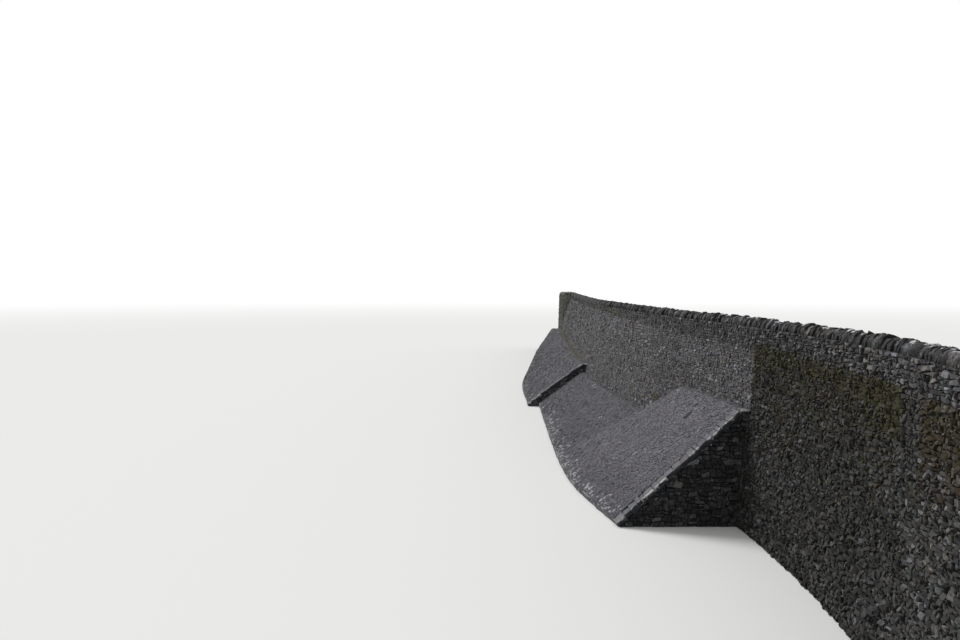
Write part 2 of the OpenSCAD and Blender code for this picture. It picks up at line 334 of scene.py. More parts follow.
def outlines(rng, count, points, pull=0.45):
    """Random outlines in a square from -1 to 1, anticlockwise, as (count, points) a and b.

    Eight points cut every corner by random shares, six cut top and bottom corners and point the
    sides, and four only pull the corners in, by shares of pull.
    """
    cut = 0.05 + 0.45 * rng.random((count, points)) ** 1.4
    if points == 8:
        a = np.array([1, 1, 1, -1, -1, -1, -1, 1]) - np.array([0, 0, 1, -1, 0, 0, -1, 1]) * cut
        b = np.array([-1, 1, 1, 1, 1, -1, -1, -1]) - np.array([-1, 1, 0, 0, 1, -1, 0, 0]) * cut
    elif points == 6:
        a = np.array([1, 1, -1, -1, -1, 1]) - np.array([0, 1, -1, 0, -1, 1]) * cut
        b = np.array([0, 1, 1, 0, -1, -1]) + np.array([2, 0, 0, 2, 0, 0]) * (cut - 0.24)
    else:
        a = np.array([1, 1, -1, -1]) * (1 - cut * pull)
        b = np.array([-1, 1, 1, -1]) * (1 - cut[:, ::-1] * pull)
    return a, b


def stone_tones(rng, count, pale=0.02, soft=0.0):
    """A tone for each stone, most near the middle and a few pale, and a warmth."""
    tone = np.clip(rng.normal(0.5, 0.20 - 0.12 * soft, count), 0, 0.9)
    tone = np.where(rng.random(count) < pale, rng.uniform(0.9, 1.0, count), tone)
    return {"tone": tone, "warmth": rng.random(count) * (tone < 0.9), "moss": np.zeros(count)}


def level(height):
    """A limit of a face that stays at one height."""
    return lambda u: height + 0 * u


def along(start, places, heights, way=1):
    """A limit that runs straight between heights at some places, where u leads there from the start."""
    return lambda u: np.interp(start + way * u, places, heights)


ground, cope_bed = level(0), level(cope_base)


def lay_stones(rng, cells, place, low, high, points=8, tip=True, rise=0.0044, gap=0.0016, pale=0.02,
               soft=0.0):
    """One stone in each cell, as (stones, corners, 3), with each stone's place, tone and warmth.

    Its outline is blended between the cell's corners and held between the low and high limits of
    the face, and what is then smaller than the least stone is left out. One ring of that outline is
    sunk behind the face, and a smaller one stands in front of it, tilted at random, closed by a tip
    or a flat front. The sunk ring carries painted shade, with some grime, that fades to the front.
    A big stone stands further out. Soft stones have narrow bevels, full corners, less painted shade
    at their joints and even tones.
    """
    u4, v4 = cells
    a, b = outlines(rng, len(u4), points, 0.45 - 0.15 * soft)
    half_u = (u4[:, 1] + u4[:, 2] - u4[:, 0] - u4[:, 3])[:, None] / 4
    half_v = np.maximum(v4[:, 3] + v4[:, 2] - v4[:, 0] - v4[:, 1], least_course)[:, None] / 4
    s = (1 + a * (1 - gap / 2 / half_u)) / 2
    t = (1 + b * (1 - gap / 2 / half_v)) / 2
    u, v = blended(u4.T[..., None], s, t), blended(v4.T[..., None], s, t)
    v = np.clip(v, low(u), np.maximum(high(u), low(u)))
    kept = (np.ptp(v, axis=1) > least_stone) & (np.ptp(u, axis=1) > least_stone)
    a, b, u, v = a[kept], b[kept], u[kept], v[kept]
    n = len(u)
    mid_u, mid_v = u.mean(axis=1), v.mean(axis=1)
    step = 0.002
    out = np.cross(
        place(mid_u + step, mid_v) - place(mid_u - step, mid_v),
        place(mid_u, mid_v + step) - place(mid_u, mid_v - step),
    )
    out /= np.linalg.norm(out, axis=1, keepdims=True)
    area = (half_u * half_v)[kept]
    stand = rise * rng.uniform(0.5, 1.3, (n, 1)) * (area / np.median(area)) ** 0.3
    slope = stand * (rng.uniform(-0.45, 0.45, (n, 1)) * a + rng.uniform(-0.45, 0.45, (n, 1)) * b)
    front_size = 0.84 + 0.10 * soft + rng.uniform(-0.06, 0.03, u.shape)
    made = []
    for size, depth in ((1.0, np.full(u.shape, -sunk)), (front_size, stand + slope)):
        ring_u = mid_u[:, None] + (u - mid_u[:, None]) * size
        ring_v = mid_v[:, None] + (v - mid_v[:, None]) * size
        made.append(place(ring_u, ring_v) + out[:, None] * depth[..., None])
    if tip:
        top = place(mid_u, mid_v) + out * (stand * rng.uniform(1.0, 1.2, (n, 1)))
        made.append(top[:, None])
    solid = np.concatenate(made, axis=1)
    solid[..., 2] = np.maximum(solid[..., 2], 0)
    painted_light = np.ones(solid.shape[:2])
    # The sunk ring carries painted shade, with some grime; soft stones carry less of it
    painted_light[:, :points] = 0.7 * soft
    return {"points": solid, "painted_light": painted_light, "u": mid_u, "v": mid_v, **stone_tones(rng, n, pale, soft),
            "corners": points, "rings": 2, "tip": tip}


def chosen(group, mask):
    """The stones of a group that a mask picks."""
    return {key: kept[mask] if isinstance(kept, np.ndarray) else kept for key, kept in group.items()}


def cells_of(cells, start, box, way=1):
    """The cells whose first corner lies in the run of a node's box, where u leads on from the start."""
    x = start + way * cells[0][:, 0]
    return cells[:, (x >= box[0].x - hair) & (x < box[1].x - hair)]


def near_spots(group, spots):
    """Whether each stone's middle lies within the radius of one of some spots x, y, z, radius."""
    middle = group["points"].mean(axis=1)
    spots = np.array(spots)
    apart = np.linalg.norm(middle[:, None] - spots[None, :, :3], axis=2)
    return (apart < spots[:, 3]).any(axis=1)


def stone_faces(corners, rings, tip):
    """Corner numbers of one stone's faces: sides from ring to ring, its front and its bed."""
    faces = []
    for r in range(rings - 1):
        for m in range(corners):
            k = (m + 1) % corners
            faces.append([r * corners + m, r * corners + k, (r + 1) * corners + k, (r + 1) * corners + m])
    front = [(rings - 1) * corners + m for m in range(corners)]
    if tip:
        faces += [[front[m], front[(m + 1) % corners], rings * corners] for m in range(corners)]
    else:
        faces.append(front)
    faces.append(list(range(corners))[::-1])
    return faces


def stone_piece(name, finishes, groups, replaced=None):
    """One mesh of many loose closed stones, from groups of stones that share a set of faces.

    Its points carry what the materials read.
    """
    loops, sizes, finish, base = [], [], [], 0
    for group in groups:
        n, per = group["points"].shape[:2]
        faces = stone_faces(group["corners"], group["rings"], group["tip"])
        pattern = np.concatenate([np.array(f) for f in faces])
        loops.append((pattern[None] + base + per * np.arange(n)[:, None]).ravel())
        sizes.append(np.tile([len(f) for f in faces], n))
        finish.append(np.full(n * len(faces), group.get("finish", 0)))
        base += n * per
    points = np.concatenate([g["points"].reshape(-1, 3) for g in groups])
    loops, sizes = np.concatenate(loops), np.concatenate(sizes)
    mesh = bpy.data.meshes.new(name)
    mesh.vertices.add(len(points))
    mesh.vertices.foreach_set("co", points.astype(np.float32).ravel())
    mesh.loops.add(len(loops))
    mesh.loops.foreach_set("vertex_index", loops.astype(np.int32))
    mesh.polygons.add(len(sizes))
    mesh.polygons.foreach_set("loop_start", np.concatenate([[0], np.cumsum(sizes)[:-1]]).astype(np.int32))
    mesh.polygons.foreach_set("material_index", np.concatenate(finish).astype(np.int32))
    mesh.update(calc_edges=True)
    for key in ("tone", "warmth", "moss", "painted_light", "crest"):
        given = [g.get(key, np.zeros(1)) for g in groups]
        shapes = [g["points"].shape[:2] for g in groups]
        spread = [np.broadcast_to(v if v.ndim == 2 else v[:, None], shape) for v, shape in zip(given, shapes)]
        values = np.concatenate([v.ravel() for v in spread]).astype(np.float32)
        mesh.attributes.new(key, "FLOAT", "POINT").data.foreach_set("value", values)
    mesh.polygons.foreach_set("use_smooth", np.ones(len(sizes), bool))
    mesh.set_sharp_from_angle(angle=math.radians(30))
    for material in finishes:
        mesh.materials.append(material)
    made = bpy.data.objects.new(name, mesh)
    scene.collection.objects.link(made)
    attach(made, "root")
    if replaced:
        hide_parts(replaced)
    return made


def effect(name, numbers, colours, results):
    """A new shader node group with named sockets: its tree, its inputs and Object coordinates."""
    tree = bpy.data.node_groups.new(name, "ShaderNodeTree")
    for socket in numbers:
        tree.interface.new_socket(name=socket, in_out="INPUT", socket_type="NodeSocketFloat")
    for socket in colours:
        tree.interface.new_socket(name=socket, in_out="INPUT", socket_type="NodeSocketColor")
    for socket, kind in results.items():
        tree.interface.new_socket(name=socket, in_out="OUTPUT", socket_type="NodeSocket" + kind)
    return tree, put(tree, "NodeGroupInput"), put(tree, "ShaderNodeTexCoord")["Object"]


def stone_face_group():
    """Weathered stone: the stone's own tone, mottled by noise, runs from shade to body to pale; painted shade
    then darkens it.
    """
    tree, given, at = effect("stone_face", ("Tone", "Warmth", "Painted Light", "Mottle", "Hue"),
                             ("Shade", "Body", "Pale"), {"Color": "Color", "Height": "Float"})
    mottle = noise(tree, at, 110.0, 5.0, 0.6)
    stain = noise(tree, at, 5.0, 3.0)
    blush = between(tree, noise(tree, at, 48.0, 2.0), 0.36, 0.64)
    spread = number(tree, "SUBTRACT", mottle, 0.5)
    spread = number(tree, "MULTIPLY_ADD", spread, given["Mottle"], given["Tone"])
    spread = number(tree, "MULTIPLY_ADD", stain, 0.5, spread)
    spread = number(tree, "SUBTRACT", spread, 0.25)
    tone = tint(tree, between(tree, spread, 0.0, 0.55), given["Shade"], given["Body"])
    tone = tint(tree, between(tree, spread, 0.60, 1.05), tone, given["Pale"])
    warm = tint(tree, given["Warmth"], (0.94, 0.99, 1.09, 1), (1.06, 1.0, 0.92, 1))
    tone = tint(tree, given["Hue"], tone, warm, blend_type="MULTIPLY")
    ruddy = tint(tree, blush, (0.94, 1.02, 1.0, 1), (1.07, 0.98, 1.0, 1))
    tone = tint(tree, given["Hue"], tone, ruddy, blend_type="MULTIPLY")
    # Painted shade: the colour falls to a fifth where a point's painted light is low
    painted_shade = between(tree, given["Painted Light"], 0.2, 0.9, 0.2, 1.0)
    painted_shade = put(tree, "ShaderNodeCombineColor", {0: painted_shade, 1: painted_shade, 2: painted_shade})[0]
    tone = tint(tree, 1.0, tone, painted_shade, blend_type="MULTIPLY")
    grain = noise(tree, at, 420.0, 4.0)
    put(tree, "NodeGroupOutput", {"Color": tone, "Height": number(tree, "MULTIPLY_ADD", grain, 0.4, mottle)})
    return tree


# The x where the moss starts to turn brown or pale, and where it has turned
moss_browns = (6.10, 6.30)
moss_pales = (corner_x, corner_x - 0.10)


def moss_group():
    """Olive moss, brown near the end and paler on the bays: a stone's own plus noise drawn downwards."""
    tree, given, at = effect("moss_streaks", ("Moss",), ("Color",), {"Color": "Color"})
    drawn_out = put(tree, "ShaderNodeMapping", {"Vector": at, "Scale": (75.0, 75.0, 24.0)})[0]
    streak = noise(tree, drawn_out, 1.0, 5.0, 0.65)
    clump = noise(tree, at, 130.0, 4.0, 0.6)
    x = put(tree, "ShaderNodeSeparateXYZ", {0: at})["X"]
    hue = number(tree, "ADD", noise(tree, at, 16.0, 3.0), between(tree, x, *moss_browns, 0.0, -0.17))
    hue = between(tree, hue, 0.40, 0.60)
    grown = number(tree, "MULTIPLY_ADD", streak, 2.6, given["Moss"])
    grown = number(tree, "MULTIPLY_ADD", clump, 2.0, grown)
    present = between(tree, given["Moss"], 0.02, 0.12)
    mask = number(tree, "MULTIPLY", between(tree, grown, 2.60, 2.82), present)
    dark = tint(tree, hue, (0.013, 0.009, 0.003, 1), (0.010, 0.011, 0.002, 1))
    fresh = tint(tree, hue, (0.050, 0.031, 0.008, 1), (0.041, 0.045, 0.003, 1))
    olive = tint(tree, between(tree, clump, 0.35, 0.72), dark, fresh)
    olive = tint(tree, between(tree, x, *moss_pales, 0.0, 0.7), olive, (0.105, 0.098, 0.055, 1))
    put(tree, "NodeGroupOutput", {"Color": tint(tree, mask, given["Color"], olive)})
    return tree


def lichen_group():
    """Pale lichen crust in round patches, where a stone's own crest plus noise is enough."""
    tree, given, at = effect("lichen", ("Crest", "Scale"), ("Color",), {"Color": "Color"})
    grown = number(tree, "MULTIPLY_ADD", noise(tree, at, given["Scale"], 5.0, 0.62), 0.8, given["Crest"])
    crusted = tint(tree, between(tree, grown, 1.02, 1.18), given["Color"], (0.58, 0.58, 0.585, 1))
    put(tree, "NodeGroupOutput", {"Color": crusted})
    return tree


EFFECTS = {"stone": stone_face_group(), "moss": moss_group(), "lichen": lichen_group()}


def stone_material(name, shade, body, pale, crust=0, mottle=0.9, hue=1.0, bump=0.0012):
    """Rough limestone: the stone's face, then its moss and, where asked, lichen, over a bump.

    Its tones run from shade over body to the few pale stones, each a colour or one number for grey.
    """
    made, tree, shader = rough_material(name, 0.93)
    shader.inputs["Specular IOR Level"].default_value = 0.25

    def own(key):
        """What the piece's points carry under a name."""
        return put(tree, "ShaderNodeAttribute", attribute_name=key)["Fac"]

    def place(effect_name, inputs):
        """The outputs of an effect placed in this material."""
        return put(tree, "ShaderNodeGroup", inputs, node_tree=EFFECTS[effect_name])

    tones = [(*np.broadcast_to(tone, 3), 1) for tone in (shade, body, pale)]
    face = place("stone", {
        "Tone": own("tone"), "Warmth": own("warmth"), "Painted Light": own("painted_light"), "Mottle": mottle, "Hue": hue,
        **dict(zip(("Shade", "Body", "Pale"), tones)),
    })
    tone = place("moss", {"Moss": own("moss"), "Color": face["Color"]})["Color"]
    if crust:
        tone = place("lichen", {"Crest": own("crest"), "Scale": crust, "Color": tone})["Color"]
    face_on(tree, shader, tone, face["Height"], strength=0.7, distance=bump)
    return made


damp_wall = stone_material(
    "damp_wall_stone", (0.011, 0.011, 0.010), (0.058, 0.057, 0.054), (0.24, 0.24, 0.235))
dry_wall = stone_material(
    "dry_wall_stone", (0.061, 0.060, 0.061), (0.121, 0.119, 0.122), 0.30, mottle=0.65)
parapet_stone = stone_material("parapet_stone", 0.022, (0.074, 0.073, 0.073), 0.27)

walls = [stretch + "_wall" for stretch in STRETCHES]
parapets = [stretch + "_parapet" for stretch in STRETCHES]
wall_foot, wall_head = corner_line(walls, OUTER_LOW), corner_line(walls, OUTER_HIGH)
parapet_head = corner_line(parapets, OUTER_HIGH)
leaning = skin(wall_foot, wall_head)
plumb = skin(wall_head, parapet_head)
crease = along(pier_x, wall_head[:, 0], wall_head[:, 2])
run = near_end - pier_x


def bonded(u, v):
    """The leaning wall up to the crease under the parapet, and the plumb parapet above it."""
    return np.where((v <= crease(u))[..., None], leaning(u, v), plumb(u, v))


# Where the aprons meet the wall; past the first one the wall starts at its own level foot
NEAR_SLOPES = ["first_apron_slope", "second_apron_slope"]
FAR_SLOPES = ["third_apron_slope", "fourth_apron_slope"]
near_x, _, near_z = corner_line(NEAR_SLOPES, INNER_HIGH).T
far_x, _, far_z = corner_line(FAR_SLOPES, INNER_HIGH).T
head_x = np.concatenate([[pier_x], far_x, [third_x], near_x + hair, [corner_x, corner_x + hair]])
head_z = np.concatenate([far_z[:1], far_z, far_z[-1:], near_z, near_z[-1:], [0]])
apron_head = along(pier_x, head_x, head_z)

# Moss patches: from x, to x, from z, to z and how thick. The first six hang under the near
# parapet, the next two lie along the aprons' fold and the last two high on the bays.
MOSS = [
    (4.42, 4.56, 0.50, 0.790, 0.66),
    (4.50, 5.02, 0.62, 0.790, 0.55),
    (5.00, 5.75, 0.58, 0.778, 0.50),
    (5.66, 6.09, 0.54, 0.775, 0.70),
    (6.20, 6.80, 0.48, 0.770, 0.62),
    (4.60, 6.08, 0.34, 0.740, 0.26),
    (2.84, 3.12, 0.33, 0.405, 0.62),
    (-5.95, -0.55, 0.35, 0.385, 0.42),
    (0.90, 1.40, 0.77, 0.850, 0.55),
    (-0.10, 0.40, 0.79, 0.850, 0.42),
]
# Painted shade on the near wall, low down where less sky reaches and in the nook by the first cheek:
# where each starts and where it is whole
low_shade_x, low_shade_z = (6.35, 6.00), (0.80, 0.74)
nook_shade_x, nook_shade_z = (4.50, 4.47), (0.44, 0.41)


def ramp(value, start, whole):
    """0 at the start and 1 where it is whole, straight in between and held past either end."""
    return np.clip((value - start) / (whole - start), 0, 1)


def weather(rng, stones):
    """Paints shade on the near stretch low down and in the nook by the first cheek, darkens the fourth bay,
    and grows moss, sharply at a patch's top and fading downwards.
    """
    x, _, z = stones["points"].mean(axis=1).T
    near = ramp(x, corner_x, corner_x + 0.01)
    low_shade, nook_shade = ramp(x, *low_shade_x) * ramp(z, *low_shade_z), ramp(x, *nook_shade_x) * ramp(z, *nook_shade_z)
    deeper = near * (0.25 * low_shade + 0.45 * nook_shade) + 0.10 * (x < fourth_x)
    stones["tone"] = np.maximum(stones["tone"] - deeper, 0)
    amount = np.zeros(len(x))
    for x0, x1, z0, z1, thick in MOSS:
        side = ramp(x, x0, x0 + 0.07) * ramp(x, x1, x1 - 0.04)
        drop = ramp(z, z1, z1 - 0.012) * ramp(z, z0, z0 + 0.7 * (z1 - z0))
        amount = np.maximum(amount, thick * side * drop)
    stones["moss"] = np.where(amount > 0.02, np.clip(amount + rng.normal(0, 0.14, len(x)), 0, 1), 0)
    return stones


# Stones that have dropped out of the bays' walls, and pale ones by the fold: x, y, z, radius
LOST = [
    (1.03, 0.008, 0.471, 0.020), (1.095, 0.015, 0.499, 0.018), (1.894, 0.032, 0.440, 0.016),
    (1.748, -0.002, 0.287, 0.024), (1.889, 0.006, 0.296, 0.024), (2.282, 0.030, 0.307, 0.016),
    (2.683, 0.055, 0.317, 0.020), (3.539, 0.181, 0.790, 0.014),
]
WHITE = [(2.813, 0.063, 0.321, 0.018), (2.897, 0.072, 0.343, 0.018)]
every_wall, every_parapet = walls + ["end_pier_wall"], parapets + ["end_pier_parapet"]
laid = {name: [] for name in every_wall + every_parapet}
rng = np.random.default_rng(11)
near_cells = courses(rng, run, cope_base, near_course, near_stone_len)
far_cells = courses(rng, run, cope_base, wall_course, wall_stone_len)
for stretch in STRETCHES:
    cells = near_cells if stretch in ("near_outer", "near_inner", "first_bay") else far_cells
    own = cells_of(cells, pier_x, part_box(stretch + "_wall"))
    stones = lay_stones(rng, own, bonded, apron_head, cope_bed, **DETAIL[stretch])
    stones = chosen(weather(rng, stones), ~near_spots(stones, LOST))
    stones["tone"] = np.where(near_spots(stones, WHITE), 1.0, stones["tone"])
    above = stones["v"] > crease(stones["u"])
    laid[stretch + "_wall"].append(chosen(stones, ~above))
    laid[stretch + "_parapet"].append(chosen(stones, above))

# The back of the same stretches, plumb, with a narrow bench where the thinner parapet starts
back_foot, back_head = corner_line(every_wall, INNER_LOW), corner_line(every_wall, INNER_HIGH)
bench, back_top = corner_line(every_parapet, INNER_LOW), corner_line(every_parapet, INNER_HIGH)
bench_width = back_head[:, 1] - bench[:, 1]
widest = bench_width.max()
rng = np.random.default_rng(12)
back_len = near_end - far_end
back_cells = courses(rng, back_len, cope_base, back_course, back_stone_len, split=0.12)
bench_cells = courses(rng, back_len, widest, widest, bench_stone_len, split=0.0)
back_wall = skin(back_foot, back_head, behind=True)
back_parapet = skin(bench, back_top, behind=True)
bench_face = skin(back_head, bench, 0 * bench_width, bench_width, behind=True)
back_crease = along(near_end, back_head[:, 0], back_head[:, 2], way=-1)
for wall, parapet in zip(every_wall, every_parapet):
    own = cells_of(back_cells, near_end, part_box(wall), way=-1)
    laid[wall].append(lay_stones(rng, own, back_wall, ground, back_crease, **PLAIN))
    laid[parapet].append(lay_stones(rng, own, back_parapet, back_crease, cope_bed, **PLAIN))
    own = cells_of(bench_cells, near_end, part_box(wall), way=-1)
    laid[wall].append(lay_stones(rng, own, bench_face, ground, level(widest), **PLAIN))


# The end pier: a square block of the same rubble, proud of the leaning wall, that stops the run.
# Its near return, its far end and the near end of the wall are plain coursed ends.
open_joint = 0.007
pier_foot = corner_line(["end_pier_wall"], OUTER_LOW)
pier_head = corner_line(["end_pier_parapet"], OUTER_HIGH)
pier_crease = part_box("end_pier_parapet")[0].z
pier_face = skin(pier_foot, pier_head)
pier_stone = stone_material(
    "pier_stone", (0.035, 0.035, 0.031), (0.098, 0.099, 0.084), (0.25, 0.25, 0.23))
# Painted light: the pier's near return is much paler stone, so that it reads mid-grey in the lamp's shade
painted_lit_return_stone = stone_material(
    "painted_lit_return_stone", (0.25, 0.25, 0.22), (0.34, 0.335, 0.295), (0.38, 0.38, 0.35))
rng = np.random.default_rng(13)


def lay_end(rng, groups, corners, low=ground, fall=0.0, detail=PLAIN, finish=0):
    """Coursed stones on a flat end between four corners, added to a piece's groups.

    Its top falls rightwards by a share fall of the height, and low is its foot.
    """
    place, width, height = panel(*corners)
    own = courses(rng, width, height, wall_course, wall_stone_len * 1.1)
    stones = lay_stones(rng, own, place, low, lambda u: height * (1 - fall * u / width), **detail)
    groups.append({**stones, "finish": finish})


own = courses(rng, pier_x - far_end, cope_base, wall_course, wall_stone_len)
stones = lay_stones(rng, own, pier_face, ground, cope_bed, **PLAIN)
laid["end_pier_wall"].append(chosen(stones, stones["v"] <= pier_crease))
laid["end_pier_parapet"].append(chosen(stones, stones["v"] > pier_crease))
for name, front, front_top, end, detail in (
    ("near_outer", wall_foot[-1], parapet_head[-1], -1, DETAIL["near_outer"]),
    ("end_pier", pier_foot[0], pier_head[0], 0, PLAIN),
):
    crease_point = corner_line([name + "_wall"], OUTER_HIGH)[end]
    lower = [front, back_foot[end], back_head[end], crease_point]
    upper = [crease_point, bench[end], back_top[end], front_top]
    # From outside, the far end's corners run the other way round
    if end == 0:
        lower, upper = [[c[1], c[0], c[3], c[2]] for c in (lower, upper)]
    lay_end(rng, laid[name + "_wall"], lower, detail=detail)
    lay_end(rng, laid[name + "_parapet"], upper, detail=detail)

# The near return of the pier, from its face back to the leaning wall and the parapet
join = wall_head[0]
gap_low, gap_high = pier_foot[-1][1] - wall_foot[0][1], pier_head[-1][1] - join[1]
return_z = np.interp(0, [gap_high, gap_low], [join[2], 0])
return_low = pier_foot[-1] + (pier_head[-1] - pier_foot[-1]) * return_z / cope_base
inner_y = join[1] - open_joint
corners = [return_low, [join[0], inner_y, return_z], [join[0], inner_y, cope_base], pier_head[-1]]
wall_slant = along(0, [0, inner_y - return_low[1]], [0, join[2] - return_z])
lay_end(rng, laid["end_pier_wall"], corners, low=wall_slant, detail={**PLAIN, "soft": 1.25}, finish=1)

# The leaning wall's own end, which stands out beside the pier's foot and dies into its face
corners = [pier_foot[-1], wall_foot[0], wall_foot[0] + return_low - pier_foot[-1], return_low]
lay_end(rng, laid["fourth_bay_wall"], corners, fall=1.0)

for name in every_wall:
    finishes = [damp_wall] if "near" in name else [pier_stone, painted_lit_return_stone] if "pier" in name else [dry_wall]
    stone_piece(name + "_stones", finishes, laid[name])
for name in every_parapet:
    stone_piece(name + "_stones", [parapet_stone], laid[name])


# The pitched aprons: stones packed on the slope in bands that run up it, from a heavy toe course
# to the ledge under the wall. The slope is the palest face of the whole wall, and stones near its
# toe are the whitest.
pitching = stone_material(
    "pitching_stone", (0.060, 0.058, 0.064), (0.126, 0.123, 0.136), (0.36, 0.36, 0.365), mottle=1.3, hue=0.55)
band_width = 0.021
pitch_stone_len = 0.0145
front_stone_len = 0.036
shelf_course = 0.019
shelf_stone_len = 0.030
toe_strip = 0.050
shelf_moss = 0.050
edge_clear = 0.002
# The toe is darker below a z, and whitens past an x, from one z down to another
dark_toe_z = 0.16
white_toe_x = 1.2
white_toe_z = (0.084, 0.014)
PITCHED = {"points": 4, "tip": False, "rise": 0.0024, "gap": 0.0010, "pale": 0.0, "soft": 1.25}
# The stones lost from the slope, most of them along its crack, and the whitest: x, y, z, radius
SLOPE_LOST = [
    (3.987, 0.041, 0.408, 0.009), (3.987, 0.052, 0.417, 0.009), (3.987, 0.064, 0.428, 0.009),
    (3.987, 0.078, 0.440, 0.009), (4.005, 0.051, 0.416, 0.004), (4.007, 0.042, 0.408, 0.004),
    (3.963, 0.102, 0.462, 0.005), (4.003, 0.063, 0.427, 0.006),
]
SLOPE_WHITE = [
    (3.543, 0.095, 0.489, 0.014), (3.543, 0.115, 0.505, 0.014), (2.399, -0.164, 0.194, 0.015),
    (1.227, -0.075, 0.275, 0.020), (1.349, -0.074, 0.273, 0.014),
]


def bands(cells):
    """The same cells with courses turned to run up the sheet: u and v change places."""
    u, v = cells[:, :, [0, 3, 2, 1]]
    return np.stack([v, u])


for order, slopes in enumerate((NEAR_SLOPES, FAR_SLOPES)):
    toes = [name.replace("slope", "toe") for name in slopes]
    toe_foot, toe_top = corner_line(toes, TOE_LOW), corner_line(toes, TOE_HIGH)
    ledge, head = corner_line(slopes, OUTER_HIGH), corner_line(slopes, INNER_HIGH)
    reach = np.linalg.norm(ledge - toe_top, axis=1)
    shelf = np.linalg.norm(head - ledge, axis=1)
    start, long = toe_top[0, 0], toe_top[-1, 0] - toe_top[0, 0]
    toe_z = toe_top[0, 2]
    shelf_back = along(start, ledge[:, 0], shelf)
    rng = np.random.default_rng(31 + order)
    # Each face of an apron: its skin, its cells and its upper limit
    sheets = {
        "slope": (skin(toe_top, ledge, 0 * reach, reach),
                  bands(courses(rng, reach.max(), long, band_width, pitch_stone_len, split=0.1, tilt=0.12)),
                  along(start, ledge[:, 0], reach)),
        "front": (skin(toe_foot, toe_top),
                  courses(rng, long, toe_z * 0.95, toe_z / 1.6, front_stone_len, split=0.1),
                  level(toe_z)),
        "shelf": (skin(ledge, head, 0 * shelf, shelf),
                  courses(rng, long, shelf.max(), shelf_course, shelf_stone_len, split=0.0),
                  shelf_back),
    }
    for name, toe in zip(slopes, toes):
        made = {}
        for part, (place, cells, top) in sheets.items():
            own = cells_of(cells, start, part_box(name))
            made[part] = lay_stones(rng, own, place, ground, top, **PITCHED)
            # No stone stands past the end of the slope, where the edge stones start
            stones_x = made[part]["points"][..., 0]
            np.minimum(stones_x, toe_top[-1, 0] + edge_clear, out=stones_x)
        slope, front, ledge_stones = made["slope"], made["front"], made["shelf"]
        x, _, z = slope["points"].mean(axis=1).T
        near_toe = np.where(x > white_toe_x, 0.42, 0.10) * ramp(z, *white_toe_z)
        white = near_spots(slope, SLOPE_WHITE) | (rng.random(len(x)) < near_toe)
        deeper = np.select([x < third_x, x < second_x], [0.12, 0.17], 0.0) + 0.12 * (z < dark_toe_z)
        slope["tone"] = np.where(white, rng.uniform(0.80, 1.05, len(x)), slope["tone"] - deeper)
        slope["warmth"] = np.where(white, 0.2, slope["warmth"])
        slope = chosen(slope, ~near_spots(slope, SLOPE_LOST))
        if order:
            mossy = ledge_stones["v"] > shelf_back(ledge_stones["u"]) - shelf_moss
            ledge_stones["moss"] = np.where(mossy, 0.5, 0)
        else:
            # Painted shade, with some earth, holds down the light that the near shelves' flatter tops catch
            ledge_stones["tone"] = ledge_stones["tone"] - 0.28
        front["tone"] = np.where(rng.random(len(front["u"])) < 0.3, 1.0, front["tone"])
        on_toe = slope["v"] < toe_strip
        stone_piece(name + "_stones", [pitching], [chosen(slope, ~on_toe), ledge_stones])
        stone_piece(toe + "_stones", [pitching], [chosen(slope, on_toe), front])


# The cheek walls that close an apron's end: big blocks, dark partly in their own tone and partly as
# painted shade, roughly coursed, under edge stones laid up the rake, whose outer end faces carry
# painted shade. Lichen draws a thin pale line along the edge stones' outer arris.
# The cheeks' dark tone is partly painted shade, for faces turned from the lamp
cheek_stone = stone_material(
    "cheek_stone", 0.009, (0.048, 0.0475, 0.048), (0.17, 0.173, 0.177), crust=95, mottle=1.7)
edge_stone = stone_material(
    "edge_stone", (0.070, 0.069, 0.075), (0.128, 0.126, 0.138), 0.34, crust=60, mottle=1.5, hue=0.55)
cheek_course = 0.019
cheek_stone_len = 0.029
cheek_lap = 0.006
damp_under_edge = 0.07
edge_stone_len = 0.034
edge_lap = 0.005
edge_past_toe = 0.006
edge_drop = 0.015
edge_proud = (0.006, 0.013)


def blocks(rng, bed, side, up, through, outline, spans, sizes, crest, light, lichen, crown=0.82,
           even=0.0, soft=0.0, rough=0.0012):
    """Rough blocks, (stones, corners, 3): an outline carried through each block in rings.

    bed is the middle of a block's underside at its back, side half its width, up its height and
    through its depth, each (stones, 3), in right-handed order. The outline runs from -1 to 1 over
    side and up. Each ring lies a span of the way through, is drawn in to a size, and carries a share
    of painted light, painted shade where it is low, and crest times a half, or times the stone's own
    lichen above the crown. Painted shade also darkens each block towards its foot; even lessens it
    there, and soft evens the tone. A tip closes the last ring, and every point is moved by up to
    rough.
    """
    a, b = outline
    made, painted_light, crests = [], [], []
    for span, size, share, face_light in zip(spans, sizes, crest, light):
        shrink = size + rng.uniform(-0.04, 0.03, a.shape)
        rise = 0.5 + 0.5 * b * shrink
        made.append(bed[:, None] + side[:, None] * (a * shrink)[..., None] + up[:, None] * rise[..., None]
                    + through[:, None] * span)
        # Painted shade towards the block's foot, times the ring's share of painted light
        painted_light.append(np.clip(even + rise * 2.2, 0, 1) * face_light)
        crests.append(share * (0.5 + (lichen - 0.5) * np.clip((rise - crown) * 8, 0, 1)))
    n = len(bed)
    tip = bed + up * rng.uniform(0.4, 0.6, (n, 1)) + through * (spans[-1] + 0.03)
    solid = np.concatenate(made + [tip[:, None]], axis=1)
    solid += rng.uniform(-rough, rough, solid.shape)
    solid[..., 2] = np.maximum(solid[..., 2], 0)
    painted_light = np.concatenate(painted_light + [light[-1] * np.ones((n, 1))], axis=1)
    crests = np.concatenate(crests + [np.full((n, 1), crest[-1] / 2)], axis=1)
    return {"points": solid, "painted_light": painted_light, "crest": crests, **stone_tones(rng, n, soft=soft),
            "corners": a.shape[1], "rings": len(spans), "tip": True}


